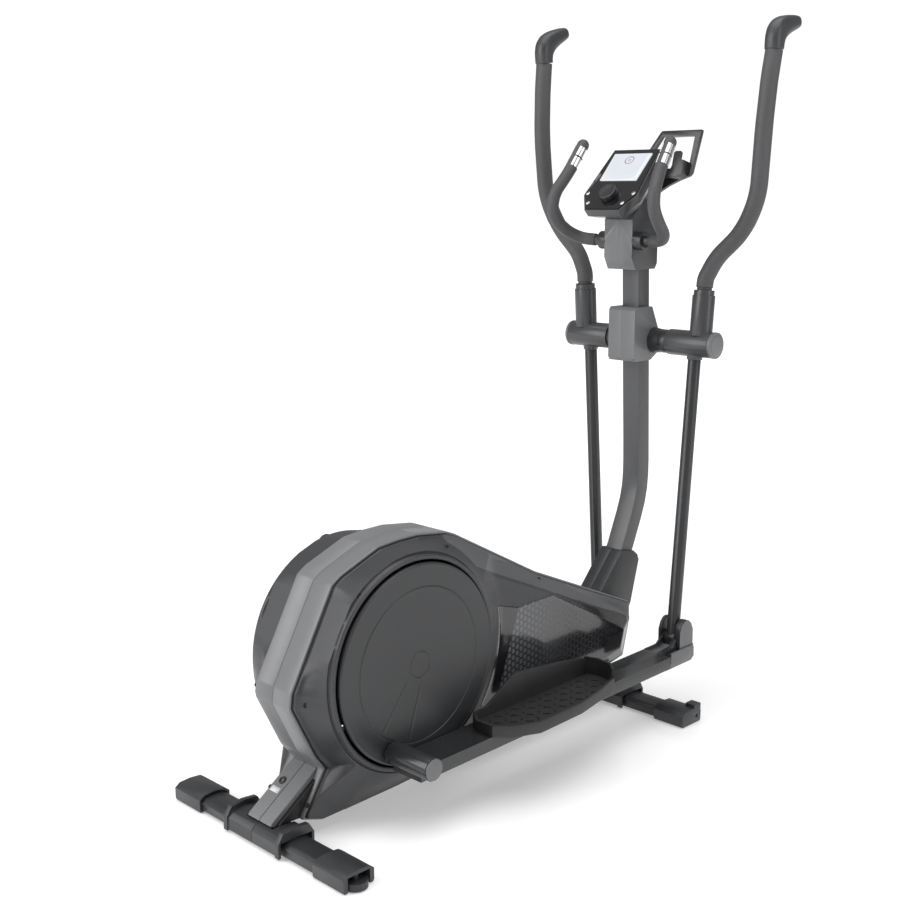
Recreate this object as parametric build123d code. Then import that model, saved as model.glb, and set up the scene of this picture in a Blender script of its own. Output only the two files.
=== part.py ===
from build123d import *
import os
from math import asin, atan2, cos, degrees, radians, sin, sqrt, tan

os.makedirs("parts", exist_ok=True)

# driving dimensions, millimetres; +X is the way the user faces, +Y their left, +Z up
SHIFT = 105.6                     # moves the drawing frame onto the centre of the footprint
CRANK_X, CRANK_Z = -461.6, 310.8  # crank axle
CRANK_R = 174.0                   # crank throw
CRANK_PHASE = 26.7                # right crank, degrees rearward of straight down
HUB_X, HUB_Z = 397.0, 870.0       # swing axle of the levers
LEVER_L = 700.0                   # swing axle to foot pivot
ARM_L = 885.0                     # foot pivot to crank pin
FLY_X, FLY_Z, FLY_R = -90.0, 226.0, 125.0
AXLE_R = 10.0
BOLT_R = 8.0
RUN = 0.05                        # radial running clearance
DISC_R = 202.0
TUBE_Y = 155.0                    # lower lever tube from the middle plane
SLEEVE_Y = 167.0                  # upper lever sleeve from the middle plane
BAND_Y = 55.0                     # half width of the housing rim
WALL = 3.5


def slab(points, y0, y1):
    """Prism of an XZ outline between two Y planes."""
    plane = Plane(origin=(0, y1, 0), x_dir=(1, 0, 0), z_dir=(0, -1, 0))
    return extrude(plane * make_face(Polyline(*points, close=True)), amount=y1 - y0)


def plate(points, z0, z1):
    """Prism of an XY outline between two heights."""
    return extrude(Plane(origin=(0, 0, z0)) * make_face(Polyline(*points, close=True)), amount=z1 - z0)


def block(x0, x1, y0, y1, z0, z1):
    """Box between its corner planes."""
    return Pos((x0 + x1) / 2, (y0 + y1) / 2, (z0 + z1) / 2) * Box(x1 - x0, y1 - y0, z1 - z0)


def rod_y(x, z, r, y0, y1):
    """Cylinder along Y between two Y planes."""
    plane = Plane(origin=(x, y0, z), x_dir=(1, 0, 0), z_dir=(0, 1, 0))
    return extrude(plane * Circle(r), amount=y1 - y0)


def cone_y(x, z, r0, r1, y0, y1):
    """Truncated cone along Y, radius r0 at y0 and r1 at y1."""
    plane = Plane(origin=(x, (y0 + y1) / 2, z), x_dir=(1, 0, 0), z_dir=(0, 1, 0))
    return plane * Cone(r0, r1, y1 - y0)


def rod(p, q, r):
    """Cylinder from p to q."""
    start = Vector(*p)
    along = Vector(*q) - start
    return extrude(Plane(origin=p, z_dir=along) * Circle(r), amount=along.length)


def route(points):
    """Straight runs through the points, joined by arcs tangent to both runs."""
    points = [Vector(*p) for p in points]
    edges = []
    last = points[0]
    for a, b, c in zip(points, points[1:], points[2:]):
        u = (b - a).normalized()
        v = (c - b).normalized()
        half = radians(u.get_angle(v)) / 2
        reach = 0.45 * min((b - a).length, (c - b).length)
        w = (v - u).normalized()
        r = reach / tan(half)
        mid = b + w * (r / cos(half) - r)
        start = b - u * reach
        end = b + v * reach
        edges.append(Line(last, start))
        edges.append(ThreePointArc(start, mid, end))
        last = end
    edges.append(Line(last, points[-1]))
    return Wire([e.edge() for e in edges])


def pipe(points, r):
    """Round bar swept along a route."""
    path = route(points)
    return sweep(Plane(origin=points[0], z_dir=path % 0) * Circle(r), path=path)


def ordered(points, d):
    """Closed outline moved inwards by d, corners kept in order."""
    n = len(points)
    area = sum(points[i][0] * points[(i + 1) % n][1] - points[(i + 1) % n][0] * points[i][1] for i in range(n))
    side = 1 if area > 0 else -1
    out = []
    for i in range(n):
        ax, az = points[i - 1]
        bx, bz = points[i]
        cx, cz = points[(i + 1) % n]
        u = Vector(bx - ax, bz - az).normalized()
        v = Vector(cx - bx, cz - bz).normalized()
        nu = Vector(-u.Y * side, u.X * side)
        nv = Vector(-v.Y * side, v.X * side)
        k = d / (1 + nu.dot(nv))
        out.append((bx + (nu.X + nv.X) * k, bz + (nu.Y + nv.Y) * k))
    return out


def mirrored(shape, side):
    """The shape drawn for the left side (y > 0), kept or mirrored to the right."""
    return shape if side > 0 else mirror(shape, about=Plane.XZ)


def save(shape, name):
    """Writes one subcomponent in the shared frame."""
    export_step(Pos(SHIFT, 0, 0) * shape, "parts/" + name + ".step")


def both(shape):
    """The left piece with its mirrored twin."""
    return Compound(children=[shape, mirror(shape, about=Plane.XZ)])


def foot_pivot(px, pz):
    """Angle of the lever (top forward positive) that reaches a crank pin with one arm length."""
    dx = px - HUB_X
    dz = pz - HUB_Z
    d = sqrt(dx * dx + dz * dz)
    a = (LEVER_L ** 2 - ARM_L ** 2 + d * d) / (2 * d)
    h = sqrt(LEVER_L ** 2 - a * a)
    x = HUB_X + (a * dx - h * dz) / d
    z = HUB_Z + (a * dz + h * dx) / d
    return x, z


# linkage at rest
PIN = {
    -1: (CRANK_X - CRANK_R * sin(radians(CRANK_PHASE)), CRANK_Z - CRANK_R * cos(radians(CRANK_PHASE))),
    1: (CRANK_X + CRANK_R * sin(radians(CRANK_PHASE)), CRANK_Z + CRANK_R * cos(radians(CRANK_PHASE))),
}
FOOT = {side: foot_pivot(*PIN[side]) for side in (-1, 1)}
LEVER_DEG = {side: degrees(asin((HUB_X - FOOT[side][0]) / LEVER_L)) for side in (-1, 1)}
ARM_DEG = {side: degrees(asin((PIN[side][1] - FOOT[side][1]) / ARM_L)) for side in (-1, 1)}
NAME = {-1: "right", 1: "left"}


# ---------------------------------------------------------------- frame
beam = block(-742, 296, -30, 30, 36, 76) - block(-739, 293, -27.5, 27.5, 38.5, 73.5)
bracket = rod_y(CRANK_X, CRANK_Z, 28, -38, 38) - rod_y(CRANK_X, CRANK_Z, 21, -38, 38)
legs = slab([(-520, 76), (-402, 76), (-444, 300), (-479, 300)], -30, -25)
legs += slab([(-520, 76), (-402, 76), (-444, 300), (-479, 300)], 25, 30)
legs -= rod_y(CRANK_X, CRANK_Z, 27, -38, 38)
fork = slab([(FLY_X - 70, 76), (FLY_X + 70, 76), (FLY_X + 16, FLY_Z + 14), (FLY_X - 16, FLY_Z + 14)], 31, 35)
fork -= rod_y(FLY_X, FLY_Z, BOLT_R, 0, 90)
forks = mirror(fork, about=Plane.XZ) + fork + block(FLY_X - 70, FLY_X + 70, 24, 35, 70, 82)
forks += block(FLY_X - 70, FLY_X + 70, -35, -24, 70, 82)
fly_axle = rod_y(FLY_X, FLY_Z, BOLT_R, -41, 62)
frame = beam + bracket + legs + forks + fly_axle


def foot_bar(x0, x1, half, top):
    """Hollow stabiliser bar with a slightly domed top."""
    mid = (x0 + x1) / 2
    outer = [(x0 + 2, 5), (x1 - 2, 5), (x1, 9), (x1, top - 9), (x1 - 9, top - 2), (mid, top)]
    outer += [(x0 + 9, top - 2), (x0, top - 9), (x0, 9)]
    return slab(outer, -half, half) - slab(ordered(outer, 2.2), -half, half)


REAR = (-771.0, -709.0)
FRONT = (255.0, 317.0)
save(foot_bar(REAR[0], REAR[1], 224, 32), "rear_stabilizer")
save(foot_bar(FRONT[0], FRONT[1], 232, 32), "front_stabilizer")
for ends in (REAR, FRONT):
    mid = (ends[0] + ends[1]) / 2
    frame += block(mid - 16, mid + 16, -22, 22, 28, 37)
    frame -= slab([(ends[0], 0), (ends[1], 0), (ends[1], 23), (ends[1] - 9, 30), (mid, 32), (ends[0] + 9, 30), (ends[0], 23)],
                  -40, 40)
save(frame, "base_frame")


def foot_cover(x0, x1, half, height):
    """Centre cover of a stabiliser: a low saddle with a raised arch at each end, in two halves."""
    mid = (x0 + x1) / 2
    body = [(x0, 6), (x1, 6), (x1, 30), (x1 - 10, 40), (mid, 44), (x0 + 10, 40), (x0, 30)]
    arch = [(x0 - 3, 4), (x1 + 3, 4), (x1 + 3, 32), (x1 - 9, height - 3), (mid, height), (x0 + 9, height - 3)]
    arch += [(x0 - 3, 32)]
    shape = slab(body, 0.2, half - 8) + slab(arch, half - 12, half)
    return shape - block(x0 + 3.5, x1 - 3.5, -1, half + 1, -1, 33)


def cap_blank(x0, x1, y0, y1, top):
    """Outer form of an end cap."""
    mid = (x0 + x1) / 2
    section = [(x0 + 2, 2), (x1 - 2, 2), (x1, 7), (x1, top - 10), (x1 - 11, top - 2), (mid, top)]
    section += [(x0 + 11, top - 2), (x0, top - 10), (x0, 7)]
    return slab(section, y0, y1), section


post_gap = block(-760, -640, -41, 41, 27, 140)
rear_cover = foot_cover(-780, -700, 86, 54) - post_gap
front_gap = block(220, 310, -40, 40, 27, 130)
front_cover = foot_cover(246, 326, 86, 54) - front_gap
save(both(Compound(children=[rear_cover, front_cover])), "foot_covers")

# end caps, rear ones with a pocket for the levelling wheel
blank, section = cap_blank(-776, -704, 176, 262, 38)
wheel_pocket = block(-766, -714, 226, 263, -1, 30)
rear_cap = blank - slab([(p[0], max(p[1], 4.8)) for p in ordered(section, 4.9)], 175, 224.2)
rear_cap -= wheel_pocket
rear_cap -= rod((-740, 251, -1), (-740, 251, 33.5), 6.4)
blank, section = cap_blank(250, 322, 176, 257, 38)
lug = block(296, 321, 232, 257, 30, 45)
front_cap = blank + lug
front_cap -= slab([(p[0], max(p[1], 4.8)) for p in ordered(section, 4.9)], 175, 232.2)
roller_pocket = block(290, 323, 234.5, 254.5, -1, 36)
front_cap -= roller_pocket
front_cap -= rod_y(306, 17.5, 4, 230, 258)
rear_cap = rear_cap - foot_bar(REAR[0], REAR[1], 224, 32)
front_cap = front_cap - foot_bar(FRONT[0], FRONT[1], 232, 32)
save(both(Compound(children=[rear_cap, front_cap])), "end_caps")

# rubber floor pads under the caps
save(both(block(-765, -715, 182, 204, 0, 2) + block(261, 311, 182, 204, 0, 2)), "floor_pads")

for side in (-1, 1):
    wheel = Pos(-740, 251, 9.0) * Cylinder(24, 14) + Pos(-740, 251, 24) * Cylinder(6, 18)
    grooves = [Rot(0, 0, 360 / 36 * k) * Pos(24.6, 0, 0) * Cylinder(1.3, 30) for k in range(36)]
    wheel -= [Pos(-740, 251, 9) * g for g in grooves]
    save(mirrored(wheel, side), "level_wheel_" + NAME[side])
    axle = rod_y(306, 17.5, 3.95, 234.8, 254.2)
    roller = rod_y(306, 17.5, 15.5, 236, 253) + axle
    save(mirrored(roller, side), "transport_wheel_" + NAME[side])

# ---------------------------------------------------------------- mast
def mast_solid(w, d):
    """Mast body: straight foot, bend and slightly raked upper run."""
    low = [(152, 78), (332, 365), (351, 409), (366.5, 444), (379.5, 479), (387, 513), (389.5, 545), (389.5, 577)]
    low += [(387.5, 627), (375.6, 875), (368, 1045)]
    half = d / 2
    left = []
    right = []
    for i, (x, z) in enumerate(low):
        a = low[max(i - 1, 0)]
        b = low[min(i + 1, len(low) - 1)]
        u = Vector(b[0] - a[0], b[1] - a[1]).normalized()
        left.append((x - u.Y * half, z + u.X * half))
        right.append((x + u.Y * half, z - u.X * half))
    outline = left + list(reversed(right))
    return slab(outline, -w / 2, w / 2), outline


mast_outer, mast_line = mast_solid(46, 42)
mast_inner, _ = mast_solid(41, 37)
mast = mast_outer - mast_inner
mast = mast + (mast_outer & block(330, 420, -23, 23, HUB_Z - 26, HUB_Z + 26))
mast += rod_y(HUB_X, HUB_Z, 22, -36, 36)
mast -= rod_y(HUB_X, HUB_Z, AXLE_R, -60, 60)
mast += block(120, 190, -30, 30, 76, 80) - mast_inner
mast -= block(0, 300, -40, 40, 0, 76)
save(mast, "mast")

axle = rod_y(HUB_X, HUB_Z, AXLE_R, -204, 204)
save(axle, "swing_axle")

# two-piece cover where the mast leaves the housing
base_out = [(298, 366), (305, 371), (350, 362), (365, 350), (371, 336), (343, 235), (318, 190), (272, 150)]
base_out += [(190, 150), (190, 248), (232, 295)]
base_cover = slab(base_out, 0.15, 31) - slab(ordered(base_out, 3.0), -1, 28)
cut, _ = mast_solid(47.2, 43.2)
base_cover -= cut

# pivot covers: rear block and tapering sides round the swing axle, seam on the middle plane
pc = [(319, 832), (325, 824), (384, 824), (408, 838), (426, 856), (426, 884), (410, 900), (386, 950)]
pc += [(325, 950), (319, 943)]
pivot = slab(pc, 0.15, 38) - slab(ordered(pc, 3), -1, 35)
cut, _ = mast_solid(46.6, 42.6)
pivot -= cut
pivot -= rod_y(HUB_X, HUB_Z, 22.4, -60, 36.4)
collar = cone_y(HUB_X, HUB_Z, 30, 26, 37.5, 78) + rod_y(HUB_X, HUB_Z, 27.5, 66, 84)
pivot = pivot + collar - rod_y(HUB_X, HUB_Z, AXLE_R, -60, 90)
save(both(pivot), "pivot_covers")

# head cover between mast and console, with the handlebar collars
hc = [(298, 1152), (298, 1066), (313, 1038), (388, 1038), (396, 1051), (396, 1120), (382, 1196), (330, 1196)]
head = slab(hc, 0.15, 40) - slab(ordered(hc, 3), -1, 37)
cut, _ = mast_solid(46.6, 42.6)
head -= cut
BAR_X, BAR_Z = 318.0, 1104.0
head += rod_y(BAR_X, BAR_Z, 21, 39, 62)
head -= rod_y(BAR_X, BAR_Z, 12.7, 30, 70)
save(both(head), "head_covers")

# fixed handlebar: cross tube, two U bends and upright ends; foam grips with sensor plates
BAR_R = 12.5
bar_line = [(BAR_X, 80, BAR_Z), (309, 116, 1107), (285, 137, 1121), (250, 146, 1147), (232, 145, 1178)]
bar_line += [(238, 141, 1213), (272, 129, 1259), (316, 124, 1321)]
bar = rod_y(BAR_X, BAR_Z, BAR_R, 0, 80) + pipe(bar_line, BAR_R - 2)
bar = bar + mirror(bar, about=Plane.XZ)
cut, _ = mast_solid(46, 42)
save(bar, "fixed_handlebar")


def sleeve(line, r_out, r_in):
    """Foam sleeve round a bent bar, closed at its far end by a rounded cap."""
    path = route(line)
    start = Plane(origin=line[0], z_dir=path % 0)
    foam = sweep(start * Circle(r_out), path=path)
    foam += Pos(*line[-1]) * Sphere(r_out)
    core = sweep(start * Circle(r_in), path=path)
    return foam - core


grip_line = bar_line
grip = sleeve(grip_line, 14.2, BAR_R - 2)
tip = Vector(*grip_line[-1])
lean = (tip - Vector(*grip_line[-2])).normalized()
plates = None
for start, length in ((-62, 24), (-34, 24)):
    base = tip + lean * start
    ring = extrude(Plane(origin=base, z_dir=lean) * (Circle(15.0) - Circle(12.9)), amount=length)
    split = Plane(origin=base, z_dir=lean, x_dir=(0, 1, 0)) * Pos(13, 0, length / 2) * Box(20, 26, length + 1)
    split2 = Plane(origin=base, z_dir=lean, x_dir=(0, 1, 0)) * Pos(-13, 0, length / 2) * Box(20, 26, length + 1)
    part = (ring & split) + (ring & split2)
    plates = part if plates is None else plates + part
grip -= plates
grip -= rod_y(BAR_X, BAR_Z, BAR_R + 0.05, 0, 80.05)
save(both(grip), "fixed_grips")
save(both(plates), "pulse_sensors")

# ---------------------------------------------------------------- console
FACE = Plane(origin=(320.3, 0, 1268.5), x_dir=(0, -1, 0), z_dir=(-0.7249, 0, 0.6889))
face_out = [(-66, 59), (66, 59), (76, -70), (76, -84), (48, -130), (-48, -130), (-76, -84), (-76, -70)]
face_in = [(-63, 56), (63, 56), (72.5, -70), (72.5, -83), (46, -126.5), (-46, -126.5), (-72.5, -83)]
face_in += [(-72.5, -70)]


def on_face(points, d0, d1):
    """Prism on the console face from depth d0 to d1 (outwards positive)."""
    return extrude(FACE * Pos(0, 0, d0) * make_face(Polyline(*points, close=True)), amount=d1 - d0)


back = [(-52, 50), (52, 50), (58, -60), (58, -76), (38, -112), (-38, -112), (-58, -76), (-58, -60)]
rim = on_face(face_out, -22, -2)
rear = loft([(FACE * Pos(0, 0, -22)) * make_face(Polyline(*face_out, close=True)),
             (FACE * Pos(0, 0, -46)) * make_face(Polyline(*back, close=True))], ruled=True)
box = rim + rear
box -= on_face(face_in, -5, -1)
box -= on_face([(-60, 50), (60, 50), (68, -70), (44, -120), (-44, -120), (-68, -70)], -32, -4)
neck = block(326, 390, -32, 32, 1180, 1225)
box += neck - block(329, 387, -29, 29, 1170, 1235)
box -= both(head)
save(box, "console_housing")

panel = on_face(face_in, -4.9, 0)
window = [(-53, 42), (53, 42), (51.5, -41), (-51.5, -41)]
panel -= on_face(window, -6, 1)
KNOB = (0.0, -85.0)
KEYS = {"left_upper": (-65, -80), "left_lower": (-49, -109), "right_upper": (65, -80), "right_lower": (49, -109)}
panel -= FACE * Pos(KNOB[0], KNOB[1], -3) * Cylinder(6.4, 20)
for u, v in KEYS.values():
    panel -= FACE * Pos(u, v, -3) * Cylinder(5.4, 20)
save(panel, "console_panel")
save(on_face(ordered(window, 0.2), -4.9, -0.6), "display")
knob = FACE * Pos(*KNOB, 7.4) * Cylinder(22, 13.2) + FACE * Pos(*KNOB, -1.5) * Cylinder(6.0, 6)
dish = FACE * Pos(*KNOB, 14) * Cylinder(17, 2.4)
save(knob - dish, "console_knob")
for name, (u, v) in KEYS.items():
    key = FACE * Pos(u, v, -0.9) * Cylinder(5.0, 4.6)
    save(key, "console_key_" + name)

# ---------------------------------------------------------------- tablet holder
HOLD = Plane(origin=(404, 0, 1300), x_dir=(0, -1, 0), z_dir=(-0.97, 0, 0.24))


def on_holder(points, d0, d1):
    """Prism on the tablet holder plane."""
    return extrude(HOLD * Pos(0, 0, d0) * make_face(Polyline(*points, close=True)), amount=d1 - d0)


frame_out = [(24, 49), (29, 54), (137, 54), (137, 48), (130, -44), (125, -51), (100, -60), (70, -74)]
frame_out += [(48, -88), (-40, -88), (-40, -60), (-34, -48)]
hole = [(32, 40), (121, 40), (119, -34), (-11, -34)]
holder = on_holder(frame_out, -9, 0) - on_holder(hole, -10, 1)
lip = on_holder([(-30, -60), (100, -60), (119, -52), (119, -42), (-30, -42)], -1, 22)
lip += on_holder([(84, -43), (119, -43), (119, -21), (104, -18), (90, -28)], -1, 22)
lip += on_holder([(88, -44), (109, -44), (110, -4), (106, 0), (92, 0), (88, -4)], 18, 22)
arm = block(372, 400, -24, 24, 1196, 1228)
holder = holder + lip + arm
holder -= box + on_face(back, -80, -20)
save(holder, "tablet_holder")

# ---------------------------------------------------------------- housing
profile = [(-645, 128), (-667, 156), (-724, 270), (-720, 300), (-617, 489), (-596, 503), (-499, 541), (-446, 546)]
profile += [(-395, 547), (-314, 537), (-288, 527), (-37, 395), (306, 250), (307, 216), (281, 118), (-99, 48)]
profile += [(-461, 29), (-650, 25), (-700, 42)]
leg = [(-762, 46), (-645, 128), (-620, 128), (-620, 60), (-690, 46)]
shell = slab(profile, 0.15, BAND_Y) + slab(leg, 0.15, 36)
shell += slab(ordered(profile, 7), BAND_Y, 66)
dome = cone_y(CRANK_X, CRANK_Z, 290, 222, 66, 112) & slab(ordered(profile, 12), 60, 113)
shell += dome
front_side = slab(ordered([(-300, 470), (-37, 380), (280, 236), (280, 205), (262, 130), (-99, 70), (-300, 60)], 0), 66, 73)
shell += front_side
lip = rod_y(CRANK_X, CRANK_Z, 216, 100, 122)
shell += lip
core = slab(ordered(profile, WALL), -1, BAND_Y - WALL) + slab(ordered(leg, WALL), -1, 36 - WALL)
core += slab(ordered(profile, 11), BAND_Y - WALL - 1, 66 - WALL)
core += slab([(-300, 464), (-37, 374), (276, 232), (276, 207), (259, 134), (-99, 74), (-300, 66)], 60, 69.5)
core += cone_y(CRANK_X, CRANK_Z, 284, 217, 62, 106) & slab(ordered(profile, 16), 60, 96)
shell -= core
shell -= rod_y(CRANK_X, CRANK_Z, 207, 100, 130)
shell -= rod_y(CRANK_X, CRANK_Z, 30, 60, 130)
shell -= block(-760, 330, -31, 31, 30, 76.6)
base_plan = slab(ordered(base_out, -0.4), -1, 31.4)
shell -= base_plan
shell -= block(20, 76, -27, 27, 60, 100)
cut, _ = mast_solid(47.2, 43.2)
shell -= cut
SCREWS = [(-600, 477, 66), (-345, 516, 66), (-37, 379, 73), (-703, 280, 66), (-690, 70, 66)]
screws = None
for x, z, y in SCREWS:
    shell -= rod_y(x, z, 4.6, y - 2.6, y + 1)
    head_ = rod_y(x, z, 4.2, y - 2.6, y - 0.6) - rod_y(x, z, 2, y - 1.8, y)
    screws = head_ if screws is None else screws + head_
socket_plane = Plane(origin=(-690, 17, 96.5), x_dir=(0, -1, 0), z_dir=(-82, 0, 117))
socket = socket_plane * Pos(0, 0, -4) * Cylinder(6.4, 13)
shell_left = shell - socket_plane * Pos(0, 0, -2) * Cylinder(6.5, 20)
shell_right = mirror(shell, about=Plane.XZ)
save(shell_left, "housing_left")
save(shell_right, "housing_right")
save(both(screws), "housing_screws")
save(both(base_cover - shell), "mast_base_covers")
barrel = socket - socket_plane * Pos(0, 0, -0.75) * Cylinder(4.2, 7.5)
save(barrel, "power_socket")
inlay_out = [(-200, 350), (-117, 335), (8, 336), (272, 222), (272, 205), (256, 134), (-150, 92), (-240, 150)]
inlay = slab(inlay_out, 73.2, 74.6)
inlay -= rod_y(CRANK_X, CRANK_Z, 290, 60, 80)
save(both(inlay), "side_inlays")

# ---------------------------------------------------------------- drive
crank_axle = rod_y(CRANK_X, CRANK_Z, 12.5, -117, 117) + rod_y(CRANK_X, CRANK_Z, 16, 41.5, 46)
save(crank_axle, "crank_axle")
bearing = rod_y(CRANK_X, CRANK_Z, 20.8, 26, 38) - rod_y(CRANK_X, CRANK_Z, 12.5 + RUN, 0, 60)
save(both(bearing), "crank_bearings")
pulley = rod_y(CRANK_X, CRANK_Z, 140, 46, 58) - rod_y(CRANK_X, CRANK_Z, 12.5, 0, 99)
pulley -= [rod_y(CRANK_X + 82 * cos(radians(60 * k)), CRANK_Z + 82 * sin(radians(60 * k)), 27, 0, 99) for k in range(6)]
save(pulley, "crank_pulley")
wheel = rod_y(FLY_X, FLY_Z, FLY_R, -24, 24) - rod_y(FLY_X, FLY_Z, FLY_R - 28, 8, 25)
wheel -= rod_y(FLY_X, FLY_Z, FLY_R - 28, -25, -8)
wheel += rod_y(FLY_X, FLY_Z, 22, -28, 28) 
small = rod_y(FLY_X, FLY_Z, 22, 46, 58) + rod_y(FLY_X, FLY_Z, 14, 37, 46)
rotor = Compound(children=[s - rod_y(FLY_X, FLY_Z, BOLT_R + RUN, -90, 90) for s in (wheel, small)])
save(rotor, "flywheel")


def belt_loop(x0, z0, r0, x1, z1, r1, y0, y1):
    """Flat-belt envelope round two pulleys."""
    d = sqrt((x1 - x0) ** 2 + (z1 - z0) ** 2)
    base = atan2(z1 - z0, x1 - x0)
    lean = asin((r0 - r1) / d)
    pts = []
    for sign in (1, -1):
        a = base + sign * (radians(90) - lean)
        pts.append([(x0 + r0 * cos(a), z0 + r0 * sin(a)), (x1 + r1 * cos(a), z1 + r1 * sin(a))])
    quad = [pts[0][0], pts[0][1], pts[1][1], pts[1][0]]
    return slab(quad, y0, y1) + rod_y(x0, z0, r0, y0, y1) + rod_y(x1, z1, r1, y0, y1)


belt = belt_loop(CRANK_X, CRANK_Z, 142.6, FLY_X, FLY_Z, 24.6, 47, 57)
belt -= belt_loop(CRANK_X, CRANK_Z, 140.5, FLY_X, FLY_Z, 22.5, 40, 60)
save(belt, "drive_belt")
brake = rod_y(FLY_X, FLY_Z, FLY_R + 16, -24, 24) - rod_y(FLY_X, FLY_Z, FLY_R + 4, -30, 30)
wedge = slab([(FLY_X, FLY_Z), (FLY_X + 260, FLY_Z - 150), (FLY_X + 260, FLY_Z + 40)], -30, 30)
brake = brake & wedge
strut = slab([(FLY_X + 118, 76), (FLY_X + 158, 76), (FLY_X + 139, FLY_Z - 30), (FLY_X + 130, FLY_Z - 30)], -24, 24)
brake += strut - rod_y(FLY_X, FLY_Z, FLY_R + 6, -30, 30)
save(brake, "brake_unit")

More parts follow.
